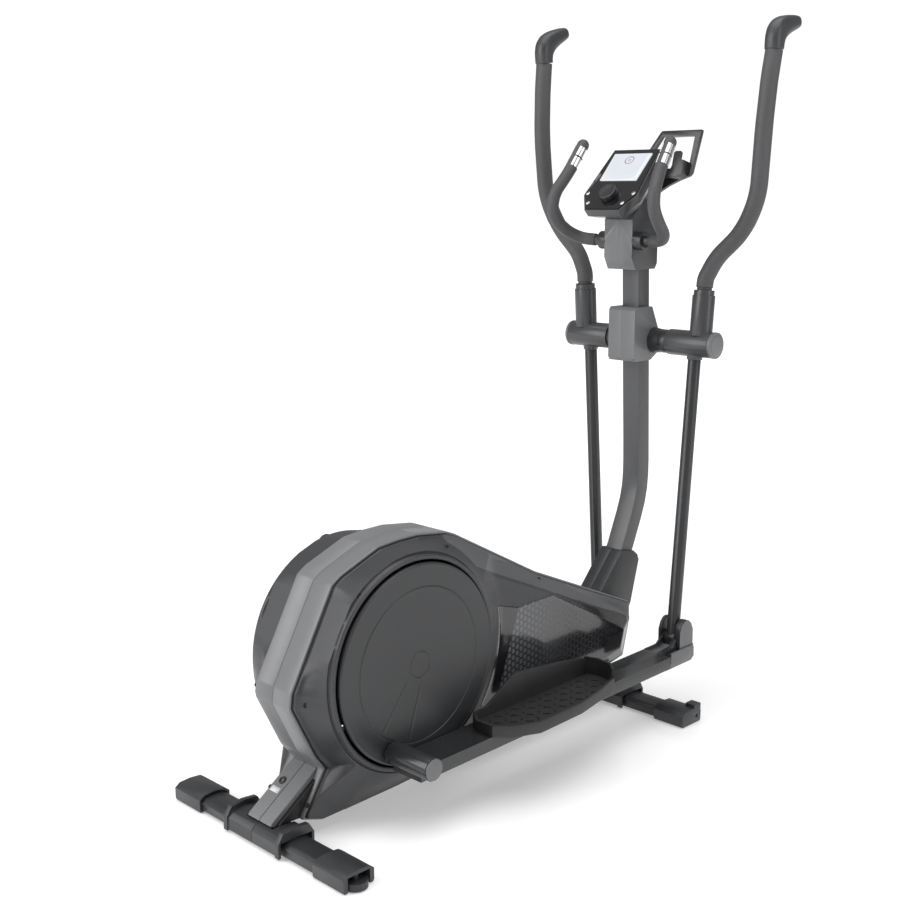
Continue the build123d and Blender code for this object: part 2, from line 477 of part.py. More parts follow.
# ---------------------------------------------------------------- cranks, levers and pedal arms
SPOKES = [(0, 0), (-34, -150), (34, -150)]
for side in (-1, 1):
    px, pz = PIN[side]
    turn = degrees(atan2(px - CRANK_X, -(pz - CRANK_Z)))
    arm_plan = Pos(CRANK_X, 0, CRANK_Z) * Rot(0, -turn, 0)
    web = slab([(-26, 10), (-18, -CRANK_R - 16), (18, -CRANK_R - 16), (26, 10)], 103.5, 113.5)
    web += rod_y(0, 0, 30, 100.6, 116) + rod_y(0, -CRANK_R, 22, 103.5, 113.5)
    web -= rod_y(0, 0, 12.5, 90, 130)
    web += rod_y(0, -CRANK_R, 15, 113, 132.8)
    save(mirrored(arm_plan * web, side), "crank_arm_" + NAME[side])
    disc = rod_y(0, 0, DISC_R, 118, 129) + cone_y(0, 0, 156, 150, 129, 130.5)
    disc -= rod_y(0, 0, DISC_R - 6, 117, 124)
    disc -= rod_y(0, -CRANK_R, 15, 110, 140)
    disc += rod_y(0, 0, 24, 117.3, 120) - rod_y(0, 0, 12.5, 110, 116)
    save(mirrored(arm_plan * disc, side), "crank_disc_" + NAME[side])

    # lever: hub, sleeve, lower tube, upper handle with foam and horn-shaped cap
    fx, fz = FOOT[side]
    hang = Pos(HUB_X, 0, HUB_Z) * Rot(0, -side * abs(LEVER_DEG[side]), 0)
    hub = rod_y(0, 0, 30, 86, 204) + rod((0, SLEEVE_Y, 20), (0, SLEEVE_Y, 112), 26)
    hub += rod((0, SLEEVE_Y, 112), (0, SLEEVE_Y, 124), 23.5)
    hub += rod((0, TUBE_Y, -24), (0, TUBE_Y, -36), 18)
    tube_cut = rod((0, TUBE_Y, -14), (0, TUBE_Y, -60), 15)
    bore = rod_y(0, 0, AXLE_R + RUN, 80, 210)
    handle_cut = rod((0, SLEEVE_Y, 14), (0, SLEEVE_Y, 131), 17)
    hub = hub - bore - tube_cut - handle_cut
    save(mirrored(hang * hub, side), NAME[side] + "_lever_hub")
    cap_disc = rod_y(0, 0, 30.5, 204.4, 211) + cone_y(0, 0, 24, 22, 211, 213)
    save(mirrored(hang * cap_disc, side), NAME[side] + "_hub_cap")
    lower = rod((0, TUBE_Y, -14), (0, TUBE_Y, -LEVER_L), 15) + rod_y(0, -LEVER_L, 18, 141.5, 168.5)
    lower -= rod_y(0, -LEVER_L, BOLT_R + RUN, 130, 180)
    lower -= rod_y(0, 0, AXLE_R + 2, 80, 210)
    save(mirrored(hang * lower, side), NAME[side] + "_lever_tube")
    line = [(0, SLEEVE_Y, 130), (1, SLEEVE_Y, 150), (6, 189, 198), (8, 252, 258), (3, 286, 335), (-2, 288, 480)]
    line += [(6, 287, 590), (15, 287, 650)]
    handle = rod((0, SLEEVE_Y, 14), (0, SLEEVE_Y, 131), 17) + pipe(line, 19.3)
    handle -= bore
    save(mirrored(hang * handle, side), NAME[side] + "_handlebar")
    horn = [(-5, 651), (-18, 698), (-8, 712), (98, 746), (112, 742), (123, 712), (112, 700), (50, 670), (36, 650)]
    tip_cap = slab(horn, 267, 307)
    tip_cap = chamfer(tip_cap.edges().filter_by(Axis.Y), 2.5)
    tip_cap -= pipe(line, 19.3)
    save(mirrored(hang * tip_cap, side), NAME[side] + "_handle_cap")

    # foot pivot bolt
    at_foot = Pos(fx, 0, fz) * Rot(0, ARM_DEG[side], 0)
    bolt = rod_y(0, 0, BOLT_R, 134.9, 181.1)
    save(mirrored(at_foot * bolt, side), NAME[side] + "_pivot_bolt")

    # pedal arm: beam, crank bearing tube and fork
    beam_ = block(-885, -86, 134, 212, -38, -10) - block(-870, -84, 136.5, 209.5, -35.5, -12.5)
    tube = rod_y(-ARM_L, 0, 22.5, 136.6, 246)
    lug = [(-100, -38), (-100, -10), (-40, -8), (-16, 10), (-4, 16), (4, 16), (16, 4), (16, -20), (4, -38)]
    fork_ = slab(lug, 135, 140) + slab(lug, 170, 181) + block(-100, -86, 134, 200, -38, -10)
    fork_ -= rod_y(0, 0, BOLT_R + RUN, 120, 200)
    steel = beam_ + tube + fork_
    steel -= rod_y(-ARM_L, 0, 15.5, 120, 250)
    save(mirrored(at_foot * steel, side), NAME[side] + "_pedal_arm")
    cheek = [(-21, -14), (-21, 24), (-14, 40), (-4, 49), (5, 51), (14, 49), (24, 40), (31, 24), (31, -14)]
    blade = [(-82, -50), (-82, -22), (-70, -14), (26, -14), (31, -20), (31, -42), (20, -50)]
    shoe = slab(cheek, 129, 191) + slab(blade, 191.5, 195) + slab(blade, 126, 134.4)
    shoe += slab([(-66, -50), (-66, -20), (31, -12), (31, -42), (20, -50)], 181.6, 193)
    shoe -= slab(ordered(cheek, 4), 134.5, 181.6) 
    shoe -= slab([(-20, -15), (-20, 13), (30, 13), (30, -15)], 134.5, 181.6)
    slot = block(-60, 60, 136, 174, 4, 90)
    shoe = shoe - slot - slab(ordered(lug, -0.4), 134.5, 181.6)
    shoe -= block(-120, -60, 133.6, 212.4, -38.4, -9.6)
    shoe -= rod_y(0, 0, BOLT_R + RUN, 134, 182)
    plug = rod_y(-ARM_L, 0, 21, 246.2, 249) + rod_y(-ARM_L, 0, 15.4, 240.5, 247)
    save(mirrored(at_foot * (shoe + plug), side), NAME[side] + "_arm_covers")

    # pedal tray on the beam
    rim_ = [(-665, 136), (-690, 168), (-690, 214), (-662, 245), (-607, 270), (-475, 268), (-400, 254), (-322, 232)]
    rim_ += [(-299, 206), (-293, 164), (-303, 136)]
    tray = plate(rim_, -9.6, 14)
    tray -= plate(ordered(rim_, 6), -4.5, 20)
    wall_in = [(-640, -9.6), (-636, 12), (-545, 62), (-532, 64), (-392, 47), (-312, 33), (-303, 24), (-303, -9.6)]
    tray += slab(wall_in, 136, 142)
    front = plate([(-322, 232), (-299, 206), (-293, 164), (-303, 136), (-309, 136), (-299, 164), (-305, 204),
                   (-325, 226)], -9.6, 34)
    tray += front
    treads = None
    for i in range(13):
        for j in range(5):
            u = -640 + 26 * i
            v = 160 + 21 * j
            stud = Pos(u, v, -3.6) * Rot(0, 0, 45 if (i + j) % 2 else -45) * Box(15, 3, 2.4)
            inside = plate(ordered(rim_, 9), -5, 20)
            stud = stud & inside
            if stud is not None and len(stud.solids()) > 0:
                tray += stud
    save(mirrored(at_foot * tray, side), NAME[side] + "_pedal")
    print(NAME[side], "pin", px + SHIFT, pz, "foot", fx + SHIFT, fz, "lever", LEVER_DEG[side], "arm", ARM_DEG[side])
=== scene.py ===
import math
import bmesh
import bpy
import numpy as np
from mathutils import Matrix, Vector


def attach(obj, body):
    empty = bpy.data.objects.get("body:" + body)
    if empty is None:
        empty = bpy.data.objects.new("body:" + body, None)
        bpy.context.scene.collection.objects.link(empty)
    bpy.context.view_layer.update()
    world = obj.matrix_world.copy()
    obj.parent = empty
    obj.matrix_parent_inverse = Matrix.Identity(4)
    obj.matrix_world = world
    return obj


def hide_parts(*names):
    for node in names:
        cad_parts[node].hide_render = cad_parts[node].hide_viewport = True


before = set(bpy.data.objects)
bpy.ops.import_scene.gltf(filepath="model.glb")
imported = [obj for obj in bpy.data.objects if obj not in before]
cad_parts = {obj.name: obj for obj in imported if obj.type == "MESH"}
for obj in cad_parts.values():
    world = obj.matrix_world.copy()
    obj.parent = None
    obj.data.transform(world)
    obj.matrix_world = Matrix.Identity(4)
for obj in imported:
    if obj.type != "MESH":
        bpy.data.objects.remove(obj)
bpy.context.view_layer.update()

# ---- Studio -------------------------------------------------------------
# A white room with a pale, lightly polished floor. A long-lens camera stands behind
# and to the right of the user's place, at chest height, looking slightly down.
camera = bpy.data.objects.new("camera", bpy.data.cameras.new("camera"))
bpy.context.scene.collection.objects.link(camera)
camera.location = (-2.0205, -1.8716, 1.2073)
heading, dip = math.radians(45.0), math.radians(-11.07)
aim = Vector((math.cos(dip) * math.cos(heading), math.cos(dip) * math.sin(heading),
              math.sin(dip)))
camera.rotation_euler = aim.to_track_quat("-Z", "Y").to_euler()
camera.data.lens = 52.155
camera.data.sensor_width = 36.0
camera.data.shift_x = 0.0018
camera.data.clip_end = 200.0
bpy.context.scene.camera = camera
bpy.context.scene.view_settings.view_transform = "Standard"


def remap(tree, value, start, stop, low, high):
    """Straight-line map of `value` from start..stop to low..high, held at both ends."""
    ruler = tree.nodes.new("ShaderNodeMapRange")
    for key, number in (("From Min", start), ("From Max", stop), ("To Min", low), ("To Max", high)):
        ruler.inputs[key].default_value = number
    tree.links.new(value, ruler.inputs["Value"])
    return ruler


WALL_GLOW, WALL_SEEN = 0.34, 1.05      # strength of the walls as a lamp, and as a backdrop
room = bpy.data.worlds.new("white_room")
bpy.context.scene.world = room
room.use_nodes = True
sky = room.node_tree.nodes["Background"]
sky.inputs["Color"].default_value = (1.0, 1.0, 1.0, 1.0)
bounce = room.node_tree.nodes.new("ShaderNodeLightPath")
level = remap(room.node_tree, bounce.outputs["Is Camera Ray"], 0.0, 1.0, WALL_GLOW, WALL_SEEN)
room.node_tree.links.new(level.outputs["Result"], sky.inputs["Strength"])


def softbox(name, place, target, width, height, power):
    """Rectangular lamp of width by height metres at place, facing target."""
    data = bpy.data.lights.new(name, "AREA")
    data.shape, data.size, data.size_y, data.energy = "RECTANGLE", width, height, power
    lamp = bpy.data.objects.new(name, data)
    bpy.context.scene.collection.objects.link(lamp)
    lamp.location = place
    lamp.rotation_euler = (Vector(target) - Vector(place)).to_track_quat("-Z", "Y").to_euler()


softbox("left_box", (-3.2, 1.6, 2.3), (0.0, 0.0, 0.7), 2.2, 3.0, 95.0)
softbox("top_box", (-0.2, -0.3, 4.2), (0.0, 0.0, 0.0), 4.0, 4.0, 120.0)
softbox("right_box", (0.9, -3.6, 1.9), (0.0, 0.0, 0.6), 1.6, 2.6, 34.0)

FLOOR = 40                             # half the floor's side, m
BRIGHT_FROM, BRIGHT_TO = 0.6, 4.2      # the floor's painted glow grows to the walls' white over this, m
floor = bpy.data.objects.new("floor", bpy.data.meshes.new("floor"))
floor.data.from_pydata([(-FLOOR, -FLOOR, 0), (FLOOR, -FLOOR, 0), (FLOOR, FLOOR, 0), (-FLOOR, FLOOR, 0)],
                       [], [(0, 1, 2, 3)])
bpy.context.scene.collection.objects.link(floor)
pale = bpy.data.materials.new("pale_floor")
pale.use_nodes = True
shine = pale.node_tree.nodes["Principled BSDF"]
shine.inputs["Base Color"].default_value = (0.9, 0.9, 0.9, 1.0)
shine.inputs["Roughness"].default_value = 0.16
shine.inputs["Specular IOR Level"].default_value = 0.55
# The floor glows with painted light. Its emission grows from 0.3 near the machine to 0.95 far off, so the
# floor fades into the white walls.
shine.inputs["Emission Color"].default_value = (1.0, 1.0, 1.0, 1.0)
afar = pale.node_tree.nodes.new("ShaderNodeTexCoord").outputs["Object"]
span = pale.node_tree.nodes.new("ShaderNodeVectorMath")
span.operation = "LENGTH"
pale.node_tree.links.new(afar, span.inputs[0])
fade = remap(pale.node_tree, span.outputs["Value"], BRIGHT_FROM, BRIGHT_TO, 0.3, 0.95)
fade.interpolation_type = "SMOOTHSTEP"
pale.node_tree.links.new(fade.outputs["Result"], shine.inputs["Emission Strength"])
floor.data.materials.append(pale)

# ---- Foot bars ----------------------------------------------------------
# Two black powder-coated oval steel bars under the machine, each with moulded end caps,
# an arched centre saddle and rubber pads, all pushed on or screwed from below.
SHIFT_X = 0.1056     # the drawing's origin lies this far in front of the middle of the plan, m
SHARP = 32.0         # edges flatter than this are shaded smooth, degrees
MERGE = 2e-5         # corners of a CAD node closer than this are one corner, m


def noise(tree, where, cells, detail):
    """Cloudy noise of `cells` per metre with `detail` finer layers on it."""
    cloud = tree.nodes.new("ShaderNodeTexNoise")
    cloud.inputs["Scale"].default_value = cells
    cloud.inputs["Detail"].default_value = detail
    tree.links.new(where, cloud.inputs["Vector"])
    return cloud.outputs["Fac"]


def moulded(name, tone, rough=0.42, grain=1400.0, depth=0.06, drift=0.12, sheen=0.5, coat=0.0,
            metal=0.0):
    """Moulded or painted surface: colour drifts by a broad noise, roughness by a finer one,
    and a fine noise of `grain` cells per metre lifts the surface by `depth`."""
    made = bpy.data.materials.new(name)
    made.use_nodes = True
    tree = made.node_tree
    body = tree.nodes["Principled BSDF"]
    where = tree.nodes.new("ShaderNodeTexCoord").outputs["Object"]
    broad, handled = noise(tree, where, 7.0, 4.0), noise(tree, where, 38.0, 6.0)
    fine = noise(tree, where, grain, 2.0)
    ramp = tree.nodes.new("ShaderNodeValToRGB")
    ends = ramp.color_ramp.elements
    ends[0].position, ends[1].position = 0.3, 0.7
    ends[0].color = (*[c * (1 - drift) for c in tone], 1.0)
    ends[1].color = (*[c * (1 + drift) for c in tone], 1.0)
    dull = remap(tree, handled, 0.0, 1.0, max(rough - 0.07, 0.02), rough + 0.07)
    lift = tree.nodes.new("ShaderNodeBump")
    lift.inputs["Strength"].default_value = depth
    lift.inputs["Distance"].default_value = 0.0004
    tree.links.new(broad, ramp.inputs["Fac"])
    tree.links.new(ramp.outputs["Color"], body.inputs["Base Color"])
    tree.links.new(dull.outputs["Result"], body.inputs["Roughness"])
    tree.links.new(fine, lift.inputs["Height"])
    tree.links.new(lift.outputs["Normal"], body.inputs["Normal"])
    body.inputs["Specular IOR Level"].default_value = sheen
    body.inputs["Metallic"].default_value = metal
    body.inputs["Coat Weight"].default_value = coat
    body.inputs["Coat Roughness"].default_value = 0.08
    return made


def smooth(mesh):
    """Shades every face of a mesh smooth."""
    mesh.polygons.foreach_set("use_smooth", np.ones(len(mesh.polygons), bool))


def coat_node(node, finish):
    """Gives a CAD node its finish; edges over SHARP degrees stay crisp."""
    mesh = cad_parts[node].data
    mesh.materials.clear()
    mesh.materials.append(finish)
    smooth(mesh)
    mesh.set_sharp_from_angle(angle=math.radians(SHARP))


def node_copy(node, name, finish, shape):
    """Copy of a CAD node: its doubles are merged, `shape` works on it, and its faces are
    turned outwards."""
    piece = bpy.data.objects.new(name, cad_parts[node].data.copy())
    bpy.context.scene.collection.objects.link(piece)
    raw = bmesh.new()
    raw.from_mesh(piece.data)
    bmesh.ops.remove_doubles(raw, verts=raw.verts, dist=MERGE)
    shape(raw)
    bmesh.ops.recalc_face_normals(raw, faces=raw.faces)
    raw.to_mesh(piece.data)
    raw.free()
    piece.data.materials.clear()
    piece.data.materials.append(finish)
    return piece


def rolled(piece, width, angle=SHARP, steps=3):
    """Rolls edges sharper than `angle` degrees to a radius of `width` metres."""
    edge = piece.modifiers.new("rolled_edge", "BEVEL")
    edge.width, edge.segments, edge.limit_method = width, steps, "ANGLE"
    edge.angle_limit = math.radians(angle)
    edge.harden_normals = True
    return piece


def join_flats(raw):
    """Joins triangles that lie in one flat to within 1.2 degrees."""
    bmesh.ops.dissolve_limit(raw, angle_limit=math.radians(1.2), verts=raw.verts, edges=raw.edges)


def eased(node, body, finish, roll, angle=SHARP, steps=3):
    """Copy of a CAD node whose every edge sharper than `angle` degrees is rolled to a radius
    of `roll` metres, as a mould or a bender leaves it."""
    piece = node_copy(node, node + "_eased", finish, join_flats)
    smooth(piece.data)
    rolled(piece, roll, angle, steps)
    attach(piece, body)
    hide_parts(node)
    return piece


powder_black = moulded("powder_black", (0.022, 0.023, 0.025), rough=0.36, grain=520.0, depth=0.12)
cap_black = moulded("cap_black", (0.03, 0.031, 0.034), rough=0.4, grain=1500.0, depth=0.1)
pad_rubber = moulded("pad_rubber", (0.018, 0.018, 0.018), rough=0.75, grain=900.0, depth=0.3)
for bar in ("rear_stabilizer", "front_stabilizer"):
    eased(bar, "frame", powder_black, 0.003)
eased("end_caps", "frame", cap_black, 0.0028)
eased("foot_covers", "frame", cap_black, 0.0026)
coat_node("floor_pads", pad_rubber)
for hand in ("left", "right"):
    coat_node("level_wheel_" + hand, cap_black)
    coat_node("transport_wheel_" + hand, pad_rubber)

# ---- Frame under the covers ---------------------------------------------
# Welded box-section spine with the crank bearing bracket and flywheel fork, then the
# drive parts on it. Only the spine shows, under the front of the housing.
bare_steel = moulded("bare_steel", (0.42, 0.42, 0.43), rough=0.3, grain=300.0, depth=0.08, metal=1.0)
cast_grey = moulded("cast_grey", (0.16, 0.16, 0.165), rough=0.5, grain=420.0, depth=0.3, metal=0.6)
belt_rubber = moulded("belt_rubber", (0.02, 0.02, 0.02), rough=0.7, grain=700.0, depth=0.2)
pulley_plastic = moulded("pulley_plastic", (0.05, 0.05, 0.052), rough=0.45)
LEG_TOP, LEG_NORMAL = (-0.645 + SHIFT_X, 0.0, 0.126), (-0.574, 0.0, 0.819)


def trim_at_leg(raw):
    """Cuts the spine off at the top plane of the rear leg and closes the cut."""
    bmesh.ops.bisect_plane(raw, geom=raw.verts[:] + raw.edges[:] + raw.faces[:], dist=1e-6,
                           clear_outer=True, plane_co=LEG_TOP, plane_no=LEG_NORMAL)
    bmesh.ops.holes_fill(raw, edges=[e for e in raw.edges if e.is_boundary])


spine = node_copy("base_frame", "spine_trimmed", powder_black, trim_at_leg)
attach(spine, "frame")
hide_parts("base_frame")
coat_node("flywheel", cast_grey)
coat_node("drive_belt", belt_rubber)
coat_node("crank_pulley", pulley_plastic)
for node in ("brake_unit", "crank_axle", "crank_bearings", "crank_arm_left", "crank_arm_right",
             "swing_axle"):
    coat_node(node, bare_steel)

# ---- Housing ------------------------------------------------------------
# Two moulded half shells meet on the middle plane. Each has a light rim band, a black
# shadow groove, and a side face that swells to a raised ring round the crank disc.
# Points of the side view are (forwards, up) in mm from the drawing's origin.
AXLE = np.array([-461.6, 310.8])
RING, RING_Y = 222.0, 112.0          # radius of the raised ring's foot, and its distance across
FACET_Y, FACET_RISE, FACET_RUN = 58.5, 15.0, 38.0
SOFT = 3.0                           # softness of the fold between cone and facet
OUTLINE = np.array([(-645, 128), (-667, 156), (-724, 270), (-720, 300), (-617, 489), (-596, 503),
                    (-499, 541), (-446, 546), (-395, 547), (-314, 537), (-288, 527), (-37, 395),
                    (306, 250), (307, 216), (281, 118), (-99, 48), (-461, 29), (-650, 25),
                    (-700, 42)], float)


def walk(inset, step=3.0, soft=1):
    """Points along the housing outline moved inwards by `inset` mm: each edge is shifted along its
    normal, neighbours are intersected again, every edge is cut into equal steps (counted on the
    unmoved outline), and a short moving average rounds the corners."""
    ahead = np.roll(OUTLINE, -1, 0)
    along = (ahead - OUTLINE) / np.linalg.norm(ahead - OUTLINE, axis=1)[:, None]
    inward = np.stack([along[:, 1], -along[:, 0]], 1)
    moved = OUTLINE + inward * inset
    before, back = np.roll(moved, 1, 0), np.roll(along, 1, 0)
    cross = back[:, 0] * along[:, 1] - back[:, 1] * along[:, 0]
    gap = moved - before
    run = (gap[:, 0] * along[:, 1] - gap[:, 1] * along[:, 0]) / cross
    corner = before + back * run[:, None]
    parts = []
    for k in range(len(OUTLINE)):
        count = max(int(round(np.linalg.norm(ahead[k] - OUTLINE[k]) / step)), 2)
        share = np.arange(count)[:, None] / count
        parts.append(corner[k] * (1 - share) + corner[(k + 1) % len(corner)] * share)
    line = np.concatenate(parts)
    return sum(np.roll(line, n, 0) for n in range(-soft, soft + 1)) / (2 * soft + 1)


def inside(points):
    """Perpendicular distance from the nearest edge of the convex part of the outline, mm."""
    hull = OUTLINE[1:-1]
    a, b = hull[:-1], hull[1:]
    along = (b - a) / np.linalg.norm(b - a, axis=1)[:, None]
    inward = np.stack([along[:, 1], -along[:, 0]], 1)
    return ((points[..., None, :] - a) * inward).sum(-1).min(-1)


def side_height(points, reach=800.0):
    """Distance of the side face from the middle plane. A cone falls from the ring at a slope steep
    enough to meet the rim (`reach` is the outline's radius there); a facet rises by FACET_RISE over
    the first FACET_RUN mm inside the outline; a soft maximum, which is the logarithm of a sum of
    exponentials round 60 mm, joins the two."""
    radius = np.linalg.norm(points - AXLE, axis=-1)
    slope = np.maximum(0.6, 53.0 / np.maximum(reach - RING - 4.0, 4.0))
    cone = RING_Y - np.maximum(radius - RING, 0.0) * slope
    facet = FACET_Y + FACET_RISE * np.clip(inside(points) / FACET_RUN, 0.0, 1.0)
    return SOFT * np.log(np.exp((cone - 60) / SOFT) + np.exp((facet - 60) / SOFT)) + 60


def put(name, points, faces, body, finish, flip=False):
    """Mesh piece from an array of points in mm (drawing frame) and an array of faces."""
    mesh = bpy.data.meshes.new(name)
    placed = np.array(points, float).reshape(-1, 3) * 0.001
    placed[:, 0] += SHIFT_X
    order = np.asarray(faces)[:, ::-1] if flip else np.asarray(faces)
    mesh.from_pydata(placed.tolist(), [], order.tolist())
    smooth(mesh)
    mesh.materials.append(finish)
    piece = bpy.data.objects.new(name, mesh)
    bpy.context.scene.collection.objects.link(piece)
    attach(piece, body)
    return piece


def outward(piece):
    """Turns a closed piece's faces outwards, after its doubles are merged."""
    raw = bmesh.new()
    raw.from_mesh(piece.data)
    bmesh.ops.remove_doubles(raw, verts=raw.verts, dist=1e-5)
    bmesh.ops.recalc_face_normals(raw, faces=raw.faces)
    raw.to_mesh(piece.data)
    raw.free()
    return piece


def quads(rows, cols, wrap=False):
    """Faces of a rows by cols grid of points, closed across the columns if wrap is set."""
    r = np.arange(rows - 1)[:, None]
    c = np.arange(cols if wrap else cols - 1)[None, :]
    d = (c + 1) % cols
    return np.stack([r * cols + c, r * cols + d, (r + 1) * cols + d, (r + 1) * cols + c], -1).reshape(-1, 4)


def prism(name, outline, low, high, body, finish, roll=0.0):
    """Solid between two planes across the machine: the outline in the side view, carried from
    y = low to y = high, with both ends closed."""
    flat = np.array(outline, float)
    n = len(flat)
    pts = np.concatenate([np.insert(flat, 1, low, 1), np.insert(flat, 1, high, 1)]) * 0.001
    pts[:, 0] += SHIFT_X
    sides = [(k, (k + 1) % n, n + (k + 1) % n, n + k) for k in range(n)]
    mesh = bpy.data.meshes.new(name)
    mesh.from_pydata(pts.tolist(), [], [tuple(range(n))[::-1], tuple(range(n, 2 * n))] + sides)
    mesh.materials.append(finish)
    piece = bpy.data.objects.new(name, mesh)
    bpy.context.scene.collection.objects.link(piece)
    outward(piece)
    smooth(mesh)
    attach(piece, body)
    return rolled(piece, roll) if roll else piece


shell_grey = moulded("shell_grey", (0.034, 0.035, 0.038), grain=1700.0, depth=0.05, drift=0.05)
rim_silver = moulded("rim_silver", (0.16, 0.162, 0.168), rough=0.36, grain=1700.0, depth=0.05,
                     drift=0.04)
# The facet above the crease is the same dark shell plastic; its lighter tone is painted light where the
# facet tilts up to the lamps.
facet_painted_light = moulded("facet_painted_light", (0.085, 0.087, 0.092), rough=0.36, grain=1700.0, depth=0.05,
                     drift=0.05)


def second_finish(piece, other, test):
    """Gives the faces whose centre passes `test` (metres) a second finish."""
    piece.data.materials.append(other)
    centre = np.empty(len(piece.data.polygons) * 3)
    piece.data.polygons.foreach_get("center", centre)
    piece.data.polygons.foreach_set("material_index", test(centre.reshape(-1, 3)).astype(np.int32))


CREASE = np.array([(-300, 470), (-262, 459), (11, 339), (300, 214)], float)


def above_crease(centre):
    """True above the crease of the side face: the run of lines from the ring to the front tip."""
    x, y, z = (centre[:, 0] - SHIFT_X) * 1000, np.abs(centre[:, 1]) * 1000, centre[:, 2] * 1000
    crease = np.interp(x, CREASE[:, 0], CREASE[:, 1])
    clear = np.hypot(x - AXLE[0], z - AXLE[1]) > 247
    return (z > crease) & (x > -330) & (y > 56) & clear


shadow_black = moulded("shadow_black", (0.005, 0.005, 0.005), rough=0.6, grain=600.0, depth=0.1)
# Each shell is lofted in rows round the axle. LIP is (radius, distance across) of the rolled
# lip round the disc's well; EDGE and BAND are (inset, distance across) of the side face's
# outer edge and of the rim band.
LIP = ((206.6, 101.0), (206.6, 120.4), (207.6, 121.7), (209.5, 122.0), (213.4, 122.0),
       (215.2, 121.4), (215.9, 120.0), (215.9, 110.6), (219.6, 110.4), (220.2, 112.6))
EDGE = ((5.6, 57.6), (5.4, 56.0), (6.2, 46.0))
BAND = ((9.0, 50.0), (3.0, 52.6), (1.0, 52.2), (0.1, 50.6), (0.0, 48.0), (0.0, 0.9), (0.5, 0.3),
        (2.5, 0.2))
LEG = ((-648, 127), (-758, 49.5), (-762, 44), (-756, 40), (-700, 40), (-626, 100))
LEG_CORE = ((-640, 120), (-748, 44), (-690, 42), (-626, 100))
inner = walk(6.5)
turns = np.arctan2(inner[:, 1] - AXLE[1], inner[:, 0] - AXLE[0])
far = np.linalg.norm(inner - AXLE, axis=1)
spoke = np.stack([np.cos(turns), np.sin(turns)], 1)
count = len(inner)
share = np.linspace(0, 1, 84)[:, None, None] ** 1.1
shoulder = np.minimum(RING, far - 0.6)[:, None]
flat = (AXLE + spoke * shoulder)[None] * (1 - share) + inner[None] * share
# Where the outline comes close to the ring, a plain fall to the rim takes the facet's place.
roomy = np.clip((far - RING - 3.0) / 16.0, 0.0, 1.0)[None]
plain_fall = RING_Y - 53.5 * share[..., 0] ** 1.3
height = side_height(flat, far[None]) * roomy + plain_fall * (1.0 - roomy)
for side, hand in ((1, "left"), (-1, "right")):
    rows = [np.insert(AXLE + spoke * np.minimum(r, far + 216.0 - r + 3.0)[:, None], 1, y, 1)
            for r, y in LIP]
    rows += [np.insert(flat[k], 1, height[k], 1) for k in range(len(flat))]
    rows += [np.insert(walk(d), 1, y, 1) for d, y in EDGE]
    pts = np.stack(rows)
    pts[..., 1] *= side
    face = put("housing_side_" + hand, pts, quads(len(rows), count, True), "frame", shell_grey,
               flip=side > 0)
    # Faces above the crease take the lighter facet tone, which is painted light on the upward-tilted facet.
    second_finish(face, facet_painted_light, above_crease)
    pts = np.stack([np.insert(walk(d), 1, y, 1) for d, y in BAND])
    pts[..., 1] *= side
    put("housing_rim_" + hand, pts, quads(len(BAND), count, True), "frame", rim_silver,
        flip=side < 0)
    prism("housing_leg_" + hand, LEG, 0.3 * side, 35.6 * side, "frame", rim_silver,
          0.0016)
    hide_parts("housing_" + hand)
core = np.stack([np.insert(walk(4.5), 1, y, 1) for y in (56.5, -56.5)])
put("rim_shadow_core", core, quads(2, count, True), "frame", shadow_black,
    flip=True)
prism("leg_shadow_core", LEG_CORE, -44.0, 44.0, "frame", shadow_black, 0.001)

# ---- Housing trim -------------------------------------------------------
# A thin gloss film panel fills the hollow of each side face, printed with a honeycomb
# that fades forwards. Countersunk screws join the halves; a jack socket sits on the leg.


def polyline(points, share):
    """Points at the given shares (0 to 1) of the length of a run of straight lines."""
    points = np.array(points, float)
    length = np.concatenate([[0], np.cumsum(np.linalg.norm(np.diff(points, axis=0), axis=1))])
    at = np.asarray(share) * length[-1]
    return np.stack([np.interp(at, length, points[:, k]) for k in range(points.shape[1])], 1)


CELL = 0.0145        # width of a printed cell, m


